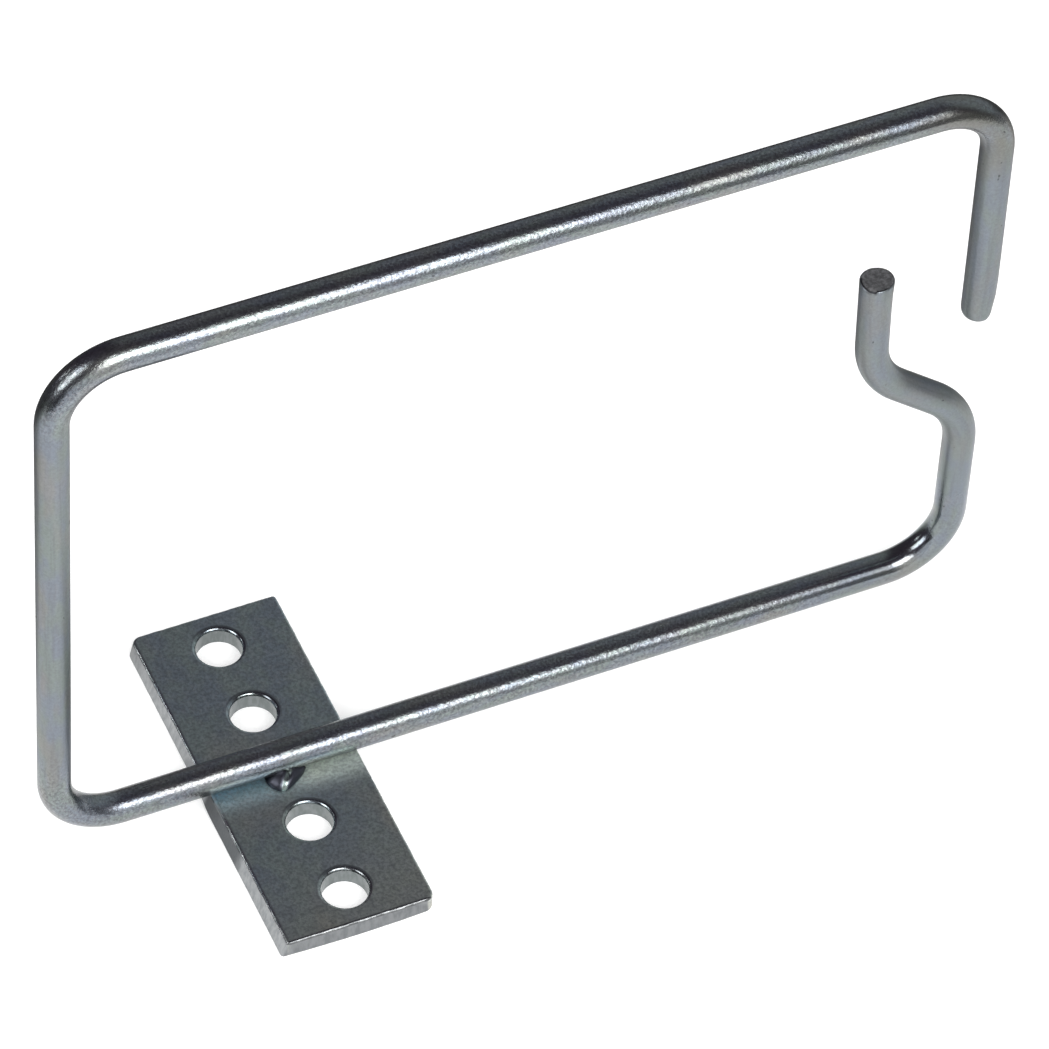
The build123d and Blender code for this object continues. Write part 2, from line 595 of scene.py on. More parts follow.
@dataclass(frozen=True)
class WeldZinc:
    """Plating over a weld bead that froze smooth: two glossy lobes painted dark as shade, and a valley
    painted lighter as a reflection.
    """

    name: str = "zinc_plated_weld"
    # Painted shade on the lobes, and a painted reflection in the lighter valley.
    shaded_lobe: Colour = (0.075, 0.079, 0.098)
    valley: Colour = (0.240, 0.285, 0.275)
    gloss: float = 0.15
    lobe_roughness: float = 0.18
    cloud_roughness: float = 0.12
    ripple_depth: float = 0.06 * MM
    clouds: Pattern = Pattern(900.0)
    ripples: Pattern = Pattern(700.0, 1.0, 0.5, (0.5, 1.0, 1.0))
    root_reach: float = 1.8 * MM
    valley_root: float = 0.75 * MM
    valley_slope: float = 0.8
    valley_half_width: float = 0.85 * MM
    valley_core: float = 0.5
    valley_wander: float = 0.4 * MM

    def material(self) -> Material:
        """Builds the finish.

        Returns:
            The material.
        """
        material = bpy.data.materials.new(self.name)
        sheet = NodeSheet(material)
        place, x, y, _ = sheet.place()
        clouds = sheet.noise(place, self.clouds)
        from_root = abs(y) - self.root_reach
        beside = abs(x - self.valley_root + from_root * self.valley_slope)
        from_valley = beside + clouds * self.valley_wander
        # The valley's lighter colour is a painted reflection; the dark lobes are painted shade.
        share = from_valley.ramp(self.valley_half_width, self.valley_core * self.valley_half_width)
        colour = sheet.mix(share, self.shaded_lobe, self.valley)
        roughness = self.gloss + clouds * self.cloud_roughness + (1 - share) * self.lobe_roughness
        sheet.metal(colour, roughness, sheet.noise(place, self.ripples), self.ripple_depth)
        return material


def finish_mesh(bm: BMesh, name: str, material: Material) -> Object:
    """Turns a bmesh into an object at the origin.

    Args:
        bm: The finished bmesh, which is freed.
        name: The object's name.
        material: Its finish.

    Returns:
        The object, linked to the scene.
    """
    mesh = bpy.data.meshes.new(name)
    bm.to_mesh(mesh)
    bm.free()
    mesh.materials.append(material)
    piece = bpy.data.objects.new(name, mesh)
    bpy.context.scene.collection.objects.link(piece)
    return piece


def picked(geometry: Iterable[Any], kind: type) -> list[Any]:
    """Picks one kind of element out of an operator's result."""
    return [item for item in geometry if isinstance(item, kind)]


def verts_along(edges: Iterable[BMEdge]) -> list[BMVert]:
    """Lists the vertices of some edges, each once, in a steady order."""
    return list(dict.fromkeys(vert for edge in edges for vert in edge.verts))


def edges_at(verts: Iterable[BMVert]) -> list[BMEdge]:
    """Lists the edges that meet at some vertices, each once, in a steady order."""
    return list(dict.fromkeys(edge for vert in verts for edge in vert.link_edges))


def drawn_out(bm: BMesh, ring: list[BMEdge]) -> tuple[list, list]:
    """Extrudes an open end.

    Args:
        bm: The mesh.
        ring: The open end's edges.

    Returns:
        The new end's vertices and its edges. They still lie where the old ones do.
    """
    grown = bmesh.ops.extrude_edge_only(bm, edges=ring)["geom"]
    verts = picked(grown, BMVert)
    fresh = set(verts)
    return verts, [edge for edge in picked(grown, BMEdge) if fresh.issuperset(edge.verts)]


def smooth_step(value: float, start: float, end: float) -> float:
    """Rises smoothly from 0 at start to 1 at end."""
    share = min(max((value - start) / (end - start), 0.0), 1.0)
    return share * share * (3.0 - 2.0 * share)


@dataclass
class WireRing:
    """The wire: lower leg with its jog, bottom bar, closed side, top bar and upper leg.

    Sizes without a unit are in wire radii, radians or shares, and waves are per metre or radian.
    """

    low: Vector
    high: Vector
    corner_bend: float = 8.0 * MM
    jog_bend: float = 12.5 * MM
    upper_leg_drop: float = 48.5 * MM
    upper_leg_lean: float = 0.35 * MM
    lower_leg_rise: float = 70.4 * MM
    lower_leg_lean: float = 0.7 * MM
    jog_start: float = 35.0 * MM
    jog_rise: float = 14.5 * MM
    jog_shift: float = 16.5 * MM
    nose_length: float = 1.2 * MM
    nose_depth: float = 0.45 * MM
    nose_turns: tuple[float, ...] = (0.3, 0.6, 0.85, 1.1, 1.35)
    burr_edge: float = 0.2 * MM
    burr_steps: tuple[float, ...] = (0.4, 0.75, 1.0)
    end_slack: float = 0.1 * MM
    leg_reach: float = 1.1
    shear_length: float = 6.0 * MM
    shear_depth: float = 0.7 * MM
    shear_curve: float = 1.5
    shear_from: float = -0.3
    flare_length: float = 6.0 * MM
    flare_width: float = 0.22 * MM
    nick_depth: float = 0.60 * MM
    nick_turn: float = math.radians(-112.0)
    nick_reach: float = 1.6
    nick_edge: Band = (-0.01, 0.08)
    nick_foot: Band = (-1.6 * MM, -0.2 * MM)
    nick_from: float = 0.72
    nick_full: float = 1.02
    ragged_depth: float = 0.10 * MM
    ragged_waves: float = 3.0
    ragged_row: float = 4.0
    cut_waves: float = 800.0
    cut_relief: float = 0.06 * MM
    cut_dip: float = 0.04 * MM
    cut_rim_from: float = 0.8
    dark_rim: Triple = (-0.77, -0.64, 0.0)
    dark_rim_blend: float = 0.5
    dark_rim_share: float = 0.5
    stain_reach: float = 17.0 * MM
    stain_core: float = 0.4
    polish_reach: float = 34.0 * MM
    polish_core: float = 0.35
    polish_back: float = 12.0 * MM
    matt_above: Band = (12.0 * MM, 22.0 * MM)
    matt_below: Band = (7.0 * MM, 16.0 * MM)
    around: int = 72
    cap_rings: tuple[float, ...] = (0.04, 0.12, 0.14, 0.14, 0.14, 0.14, 0.12)
    step: float = 3.0 * MM
    bend_steps: int = 22

    @property
    def wire_radius(self) -> float:
        """Half the wire's thickness."""
        return (self.high.y - self.low.y) / 2

    def corners(self) -> list[tuple[Vector, float]]:
        """Lists the centre line's corners.

        Returns:
            Each corner with its bend radius, from the lower leg's cut end to the upper leg's.
        """
        radius = self.wire_radius
        open_x = self.high.x - radius
        closed_x = self.low.x + radius
        lower_leg_x = open_x - self.jog_shift
        lower_bar_z = self.low.z + radius
        upper_bar_z = self.high.z - radius
        jog_low_z = self.low.z + self.jog_start
        corner = self.corner_bend + radius
        jog = self.jog_bend + radius
        places = (
            (lower_leg_x - self.lower_leg_lean, self.low.z + self.lower_leg_rise, 0.0),
            (lower_leg_x, jog_low_z + self.jog_rise, jog),
            (open_x, jog_low_z, jog),
            (open_x, lower_bar_z, corner),
            (closed_x, lower_bar_z, corner),
            (closed_x, upper_bar_z, corner),
            (open_x, upper_bar_z, corner),
            (open_x + self.upper_leg_lean, self.high.z - self.upper_leg_drop, 0.0),
        )
        return [(Vector((x, 0.0, z)), bend) for x, z, bend in places]

    def _mark(self, verts: Iterable[BMVert], run: float) -> None:
        """Writes how far along the wire a ring of vertices lies."""
        for vert in verts:
            vert[self.lay].z = run

    def _straight(self, ring: list[BMEdge], way: Vector, run: float) -> tuple[list, float]:
        """Draws the wire on along a straight.

        Args:
            ring: The open end's edges.
            way: How far and which way.
            run: The length drawn so far.

        Returns:
            The new open end and the new length.
        """
        steps = max(1, round(way.length / self.step))
        for _ in range(steps):
            verts, ring = drawn_out(self.bm, ring)
            bmesh.ops.translate(self.bm, verts=verts, vec=way / steps)
            run += way.length / steps
            self._mark(verts, run)
        return ring, run

    def _bend(
        self, ring: list[BMEdge], centre: Vector, turn: float, radius: float, run: float
    ) -> tuple[list, float]:
        """Draws the wire on round a bend.

        Args:
            ring: The open end's edges.
            centre: The middle of the bend.
            turn: The angle about +Y, in radians.
            radius: The centre line's radius.
            run: The length drawn so far.

        Returns:
            The new open end and the new length.
        """
        piece = turn / self.bend_steps
        for _ in range(self.bend_steps):
            spun = bmesh.ops.spin(
                self.bm, geom=verts_along(ring) + ring, cent=centre, axis=(0.0, 1.0, 0.0),
                dvec=(0.0, 0.0, 0.0), angle=piece, steps=1, use_merge=False,
                use_normal_flip=False, use_duplicate=False,
            )["geom_last"]
            run += radius * abs(piece)
            self._mark(picked(spun, BMVert), run)
            ring = picked(spun, BMEdge)
        return ring, run

    def _end(
        self, ring: list[BMEdge], outward: Vector, profile: Sequence[tuple[float, float]]
    ) -> None:
        """Closes an open end with a nose and a sheared face.

        Args:
            ring: The open end's edges.
            outward: The way that the end faces, of length 1.
            profile: Steps of the nose, each with its length along and its new radius.
        """
        verts = verts_along(ring)
        centre = sum((vert.co for vert in verts), Vector()) / len(verts)
        radius = self.wire_radius
        reached = 0.0
        for along, new_radius in profile:
            verts, ring = drawn_out(self.bm, ring)
            centre = centre + outward * (along - reached)
            bmesh.ops.translate(self.bm, verts=verts, vec=outward * (along - reached))
            share = new_radius / radius
            bmesh.ops.scale(
                self.bm, verts=verts, vec=(share, share, share), space=Matrix.Translation(-centre)
            )
            reached = along
            radius = new_radius
        cap = bmesh.ops.contextual_create(self.bm, geom=ring)["faces"]
        for share in self.cap_rings:
            bmesh.ops.inset_region(self.bm, faces=cap, thickness=share * radius, depth=0.0)
        bmesh.ops.poke(self.bm, faces=cap)
        for vert in self.bm.verts:
            across = vert.co - centre
            if abs(across.dot(outward)) < TOUCH and across.length < radius + TOUCH:
                inner = 1 - smooth_step(across.length, self.cut_rim_from * radius, radius)
                way = across.normalized() if across.length > 0.0 else Vector()
                # The cut value drops on the rim's lower left, which paints a dark line there: painted
                # shade.
                darkened = smooth_step(way.dot(Vector(self.dark_rim)), 0.0, self.dark_rim_blend)
                vert[self.cut] = 1.0 - self.dark_rim_share * (1 - inner) * darkened
                vert[self.lay] = across
                relief = noise.noise(vert.co * self.cut_waves) * self.cut_relief - self.cut_dip
                vert.co += outward * relief * inner

    def build(self, material: Material) -> Object:
        """Draws the wire from the lower leg's cut end to the upper leg's.

        Args:
            material: The wire's finish.

        Returns:
            The wire, smooth shaded.
        """
        self.bm = bmesh.new()
        self.lay = self.bm.verts.layers.float_vector.new(Attribute.LAY.value)
        self.cut = self.bm.verts.layers.float.new(Attribute.CUT.value)
        self.polish = self.bm.verts.layers.float.new(Attribute.POLISH.value)
        self.stain = self.bm.verts.layers.float.new(Attribute.STAIN.value)
        self.matt = self.bm.verts.layers.float.new(Attribute.MATT.value)
        corners = self.corners()
        radius = self.wire_radius
        burr = [
            (self.burr_edge * share, radius - self.burr_edge * share**2) for share in self.burr_steps
        ]
        depth = self.nose_depth / (1 - math.cos(self.nose_turns[-1]))
        nose = [
            (self.nose_length * math.sin(turn), radius - depth * (1 - math.cos(turn)))
            for turn in self.nose_turns
        ]
        first = (corners[1][0] - corners[0][0]).normalized()
        start = corners[0][0] + first * self.burr_edge
        leaned = Vector((0.0, 0.0, -1.0)).rotation_difference(first).to_matrix()
        made = bmesh.ops.create_circle(
            self.bm, cap_ends=False, segments=self.around, radius=radius,
            matrix=Matrix.Translation(start) @ leaned.to_4x4(),
        )
        for vert in made["verts"]:
            across = leaned.inverted() @ (vert.co - start)
            vert[self.lay] = (across.x, across.y, 0.0)
        ring = edges_at(made["verts"])
        first_ring = list(ring)

        here, run = start, 0.0
        for (corner, bend), (following, _) in zip(corners[1:-1], corners[2:]):
            before = (corner - here).normalized()
            after = (following - corner).normalized()
            turn = before.angle(after)
            reach = bend * math.tan(turn / 2)
            ring, run = self._straight(ring, corner - before * reach - here, run)
            side = (after - before * before.dot(after)).normalized()
            centre = corner - before * reach + side * bend
            clockwise = before.cross(after).y
            ring, run = self._bend(ring, centre, math.copysign(turn, clockwise), bend, run)
            here = corner + after * reach
            if corner is corners[3][0]:
                polished_run = run
        nose_start = corners[-1][0] - after * nose[-1][0]
        ring, run = self._straight(ring, nose_start - here, run)
        self._end(first_ring, -first, burr)
        self._end(ring, after, nose)
        self._dress(corners, polished_run)
        bmesh.ops.recalc_face_normals(self.bm, faces=self.bm.faces)
        for face in self.bm.faces:
            face.smooth = True
        return finish_mesh(self.bm, "wire", material)

    def _dress(self, corners: list[tuple[Vector, float]], polished_run: float) -> None:
        """Adds what the tools left: the sheared side, the cropped end, burnish, stain and matt legs.

        Args:
            corners: The centre line's corners.
            polished_run: The length drawn up to the end of the burnished bend.
        """
        radius = self.wire_radius
        upper_end = corners[-1][0]
        lower_end = corners[0][0]
        polish_core = self.polish_core * self.polish_reach
        stain_core = self.stain_core * self.stain_reach
        for vert in self.bm.verts:
            above = vert.co.z - upper_end.z
            beside = vert.co.x - upper_end.x
            if -self.end_slack <= above < self.shear_length and abs(beside) <= radius * self.leg_reach:
                share = (1 - max(above, 0.0) / self.shear_length) ** self.shear_curve
                pulled = smooth_step(beside, self.shear_from * radius, radius)
                vert.co.x -= self.shear_depth * share * pulled
            across = vert.co - lower_end
            near_end = across.length < self.flare_length + radius
            if near_end and abs(across.x) <= radius * self.leg_reach:
                self._crop(vert, across)
            away = abs(vert[self.lay].z - (polished_run - self.polish_back))
            vert[self.polish] = 1.0 - smooth_step(away, polish_core, self.polish_reach)
            from_bend = (vert.co - corners[-2][0]).length
            vert[self.stain] = 1.0 - smooth_step(from_bend, stain_core, self.stain_reach)
            above_bar = smooth_step(vert.co.z - self.low.z, *self.matt_above)
            below_bar = smooth_step(self.high.z - vert.co.z, *self.matt_below)
            vert[self.matt] = above_bar * below_bar

    def _crop(self, vert: BMVert, across: Vector) -> None:
        """Shapes the lower leg's cropped end: a slight flare, and a torn step in the cut's rim.

        Args:
            vert: A vertex of the lower leg's top.
            across: Its place from the middle of the cut.
        """
        radius = self.wire_radius
        near_end = 1 - smooth_step(-across.z, 0.0, self.flare_length)
        vert.co.x += self.flare_width * near_end**2 * smooth_step(across.x, 0.0, radius)
        turned = (self.nick_turn - math.atan2(across.y, across.x)) % math.tau
        torn = (1 - smooth_step(turned, 0.0, self.nick_reach)) * smooth_step(turned, *self.nick_edge)
        from_middle = math.hypot(across.x, across.y)
        outer = smooth_step(from_middle, self.nick_from * radius, self.nick_full * radius)
        top = smooth_step(across.z, *self.nick_foot)
        row = Vector((turned * self.ragged_waves, 0.0, self.ragged_row))
        ragged = self.ragged_depth * noise.noise(row)
        vert.co.z -= (self.nick_depth * torn + abs(ragged)) * outer * top


@dataclass
class MountingPlate:
    """The blank: sheared walls, broken edges, and four punched holes drawn down on the front.

    Reaches without a unit count in roundings, and waves are per metre.
    """

    low: Vector
    high: Vector
    round_corner: float = 1.5 * MM
    tight_corner: float = 0.6 * MM
    edge_break: float = 0.38 * MM
    break_steps: int = 6
    hole_radius: float = 3.5 * MM
    outer_row: float = 24.5 * MM
    inner_row: float = 11.0 * MM
    rim_roll: float = 0.55 * MM
    far_left_slant: float = 0.65 * MM
    near_left_slant: float = 1.00 * MM
    near_belly: float = 0.28 * MM
    slant_reach: float = 1.2
    slant_blend: float = 0.3
    slant_turn: float = 3.0 * MM
    waver: float = 0.05 * MM
    waver_waves: float = 420.0
    waver_row: float = 1.7
    burr: float = 0.06 * MM
    burr_reach: float = 1.3
    burr_from: float = 0.02 * MM
    burr_waves: float = 1100.0
    burr_rows: tuple[Triple, ...] = ((9.3, -1.5, -8.0), (-7.3, 4.1, 2.6), (5.7, 8.2, -3.9))
    corner_steps: int = 8
    long_edge: float = 5.0 * MM
    step: float = 0.5 * MM
    around: int = 96
    flat: float = 0.9999

    def finish(self) -> PlateZinc:
        """Gives the plate's finish, which follows its edges and holes."""
        return PlateZinc(
            half_width=self.high.x,
            half_length=self.high.y,
            thickness=self.high.z,
            hole_radius=self.hole_radius,
            hole_rows=(self.outer_row, self.inner_row),
        )

    def build(self, material: Material) -> Object:
        """Shears and punches the blank.

        Args:
            material: The plate's finish.

        Returns:
            The plate.
        """
        bm = bmesh.new()
        self.outward = bm.verts.layers.float_vector.new("outward")
        back = self._outline(bm)
        front = self._loft(bm, back, self._back_break() + self._front_break(self.edge_break))
        for row in (-self.outer_row, -self.inner_row, self.inner_row, self.outer_row):
            hole = self._hole(bm, row)
            back += hole
            front += self._loft(bm, hole, [(0.0, 0.0)] + self._front_break(self.rim_roll))
        for edges in (back, front):
            bmesh.ops.triangle_fill(bm, edges=edges, use_beauty=True, use_dissolve=False)
        bm.verts.layers.float_vector.remove(self.outward)
        bmesh.ops.recalc_face_normals(bm, faces=bm.faces)
        for edge in bm.edges:
            flat = {abs(face.normal.z) > self.flat for face in edge.link_faces}
            edge.smooth = len(flat) < 2
        for face in bm.faces:
            face.smooth = True
        self._burr(bm)
        self._slant(bm)
        plate = finish_mesh(bm, "plate", material)
        normals = plate.modifiers.new("flat_faces_lead", "WEIGHTED_NORMAL")
        normals.mode = "FACE_AREA"
        normals.keep_sharp = True
        return plate

    def _turns(self) -> list[float]:
        """Lists the angles of a quarter turn, from 0 to 90 degrees, in radians."""
        return [math.radians(90.0) * step / self.break_steps for step in range(self.break_steps + 1)]

    def _back_break(self) -> list[tuple[float, float]]:
        """Lists the back edge's rounding, as insets and heights, from the back face out."""
        radius = self.edge_break
        return [(radius * (1 - math.sin(turn)), radius * (1 - math.cos(turn))) for turn in self._turns()]

    def _front_break(self, radius: float) -> list[tuple[float, float]]:
        """Lists a front edge's rounding, as insets and heights, from the wall up."""
        foot = self.high.z - radius
        return [(radius * (1 - math.cos(turn)), foot + radius * math.sin(turn)) for turn in self._turns()]

    def _outline(self, bm: BMesh) -> list[BMEdge]:
        """Draws the blank's outline.

        Args:
            bm: The plate's mesh.

        Returns:
            The outline's edges. Their vertices know the way out.
        """
        made = bmesh.ops.create_grid(bm, x_segments=1, y_segments=1, size=1.0)
        bmesh.ops.scale(bm, verts=made["verts"], vec=(self.high.x, self.high.y, 1.0))
        corners = {radius: [] for radius in (self.round_corner, self.tight_corner)}
        for vert in bm.verts:
            corners[self._corner_radius(vert.co)].append(vert)
        for radius, verts in corners.items():
            bmesh.ops.bevel(
                bm, geom=verts, offset=radius, offset_type="OFFSET", segments=self.corner_steps,
                profile=0.5, affect="VERTICES", material=-1,
            )
        bmesh.ops.delete(bm, geom=list(bm.faces), context="FACES_ONLY")
        for edge in [edge for edge in bm.edges if edge.calc_length() > self.long_edge]:
            cuts = round(edge.calc_length() / self.step)
            bmesh.ops.subdivide_edges(bm, edges=[edge], cuts=cuts)
        for vert in bm.verts:
            vert[self.outward] = self._way_out(vert.co)
            waves = vert.co.xy * self.waver_waves
            along = noise.noise(Vector((waves.x, waves.y, self.waver_row)))
            vert.co -= vert[self.outward] * self.waver * (1 + along) / 2
        return list(bm.edges)

    def _corner_radius(self, place: Vector) -> float:
        """Tells how round the blank's corner near a place is."""
        return self.round_corner if place.x * place.y < 0 else self.tight_corner

    def _way_out(self, place: Vector) -> Vector:
        """Works out which way the wall faces at a place on the outline."""
        radius = self._corner_radius(place)
        past_x = abs(place.x) - (self.high.x - radius)
        past_y = abs(place.y) - (self.high.y - radius)
        if past_x > 0.0 and past_y > 0.0:
            way = Vector((past_x, past_y, 0.0)).normalized()
        elif past_x > past_y:
            way = Vector((1.0, 0.0, 0.0))
        else:
            way = Vector((0.0, 1.0, 0.0))
        return Vector((math.copysign(way.x, place.x), math.copysign(way.y, place.y), 0.0))

    def _hole(self, bm: BMesh, row: float) -> list[BMEdge]:
        """Draws the foot of a punched hole.

        Args:
            bm: The plate's mesh.
            row: Where the hole's middle lies along the plate.

        Returns:
            The hole's edges at the back. Their vertices know the way into the hole.
        """
        made = bmesh.ops.create_circle(
            bm, cap_ends=False, segments=self.around, radius=self.hole_radius,
            matrix=Matrix.Translation((0.0, row, 0.0)),
        )
        for vert in made["verts"]:
            vert[self.outward] = (Vector((0.0, row, 0.0)) - vert.co) / self.hole_radius
        return edges_at(made["verts"])

    def _loft(
        self, bm: BMesh, ring: list[BMEdge], profile: Sequence[tuple[float, float]]
    ) -> list[BMEdge]:
        """Draws a wall up from the back.

        Args:
            bm: The plate's mesh.
            ring: The wall's foot.
            profile: The wall's steps, each with its inset and its height.

        Returns:
            The wall's top edges.
        """
        inset, height = profile[0]
        for vert in verts_along(ring):
            vert.co -= vert[self.outward] * inset
            vert.co.z = height
        for new_inset, new_height in profile[1:]:
            verts, ring = drawn_out(bm, ring)
            for vert in verts:
                vert.co -= vert[self.outward] * (new_inset - inset)
                vert.co.z = new_height
            inset = new_inset
        return ring

    def _burr(self, bm: BMesh) -> None:
        """Roughens the front arris, where the shear left it uneven."""
        reach = self.burr_reach * self.edge_break
        for vert in bm.verts:
            from_x, from_y = self.high.x - abs(vert.co.x), self.high.y - abs(vert.co.y)
            from_side = min(from_x, from_y)
            from_front = self.high.z - vert.co.z
            on_arris = from_side < reach and self.burr_from < from_front < reach
            if on_arris and max(from_x, from_y) > 2 * self.round_corner:
                place = vert.co * self.burr_waves
                ragged = Vector([noise.noise(place + Vector(row)) for row in self.burr_rows])
                vert.co -= ragged * self.burr * (1 - from_side / reach)

    def _slant(self, bm: BMesh) -> None:
        """Lets the left wall lean out towards the back, and the near one belly out there."""
        reach = self.slant_reach * self.round_corner
        start = self.slant_blend * reach
        for vert in bm.verts:
            depth = 1 - vert.co.z / self.high.z
            at_left = 1 - smooth_step(self.high.x + vert.co.x, start, reach)
            at_near = 1 - smooth_step(self.high.y + vert.co.y, start, reach)
            near_share = smooth_step(-vert.co.y, -self.slant_turn, self.slant_turn)
            slant = self.far_left_slant + (self.near_left_slant - self.far_left_slant) * near_share
            vert.co.x -= slant * depth * at_left
            middle = 1 - (vert.co.x / self.high.x) ** 2
            vert.co.y -= self.near_belly * middle * depth * at_near


@dataclass
class WeldBead:
    """A bead of weld metal between the plate and one side of the lower bar.

    Its sizes are shares of the room that the bead has.
    """

    name: str
    low: Vector
    high: Vector
    side: Side
    middle_share: float = 0.2
    reach_share: float = 0.8
    toe_lean: float = -0.40
    toe_narrowing: float = 0.42
    toe_curve: float = 1.5
    bulge: float = 0.09
    bulge_waves: float = 1.8
    bulge_place: Triple = (3.1, 0.4, 2.2)
    valley_root: float = 0.25
    valley_slope: float = 0.65
    valley_width: float = 0.22
    valley_depth: float = 0.22
    cut_slack: float = 0.001 * MM
    most_corners: int = 7
    rings: int = 24
    around: int = 48

    def build(self, material: Material) -> Object:
        """Shapes the bead.

        Args:
            material: The bead's finish.

        Returns:
            The bead.
        """
        bm = bmesh.new()
        made = bmesh.ops.create_uvsphere(bm, u_segments=self.around, v_segments=self.rings, radius=1.0)
        half_width = (self.high.x - self.low.x) / 2
        side = self.side.value
        root, toe = (self.high.y, self.low.y) if self.side is Side.NEAR else (self.low.y, self.high.y)
        reach = abs(toe - root)
        height = self.high.z - self.low.z
        middle = Vector((0.0, root + side * self.middle_share * reach, self.low.z))
        place = Vector((side * self.bulge_place[0], *self.bulge_place[1:]))
        for vert in made["verts"]:
            toe_side = max(vert.co.y * side, 0.0)
            spread = 1.0 - self.toe_narrowing * toe_side**self.toe_curve
            bulge = 1.0 + self.bulge * noise.noise(vert.co * self.bulge_waves + place)
            beside = vert.co.x * spread + self.toe_lean * toe_side
            valley = (beside - self.valley_root + self.valley_slope * toe_side) / self.valley_width
            groove = 1.0 - self.valley_depth * math.exp(-valley * valley)
            along = vert.co.y * self.reach_share * reach
            vert.co = Vector((beside * half_width, along, vert.co.z * height * groove))
            vert.co = vert.co * min(bulge, 1.0) + middle
        for point, normal in (
            (Vector((0.0, 0.0, self.low.z)), (0.0, 0.0, -1.0)),
            (Vector((0.0, root, 0.0)), (0.0, -side, 0.0)),
        ):
            cut = bmesh.ops.bisect_plane(
                bm, geom=list(bm.verts) + list(bm.edges) + list(bm.faces), plane_co=point, plane_no=normal,
                dist=self.cut_slack, clear_outer=True,
            )
            bmesh.ops.contextual_create(bm, geom=picked(cut["geom_cut"], BMEdge))
        bmesh.ops.recalc_face_normals(bm, faces=bm.faces)
        for face in bm.faces:
            face.smooth = len(face.verts) <= self.most_corners
        return finish_mesh(bm, self.name, material)


@dataclass(frozen=True)
class Softbox:
    """A rectangular lamp that faces the object."""

    name: str
    place: Triple
    width: float
    height: float
    radiance: float

    def build(self, aim: Vector) -> None:
        """Hangs the lamp.

        Args:
            aim: The point that it faces.
        """
        lamp = bpy.data.lights.new(self.name, "AREA")
        lamp.shape = "RECTANGLE"
        lamp.size = self.width
        lamp.size_y = self.height
        lamp.energy = WATTS_PER_RADIANCE * self.radiance * self.width * self.height
        box = bpy.data.objects.new(self.name, lamp)
        bpy.context.scene.collection.objects.link(box)
        box.location = self.place
        box.rotation_euler = (aim - box.location).to_track_quat("-Z", "Y").to_euler()
        box.visible_camera = False


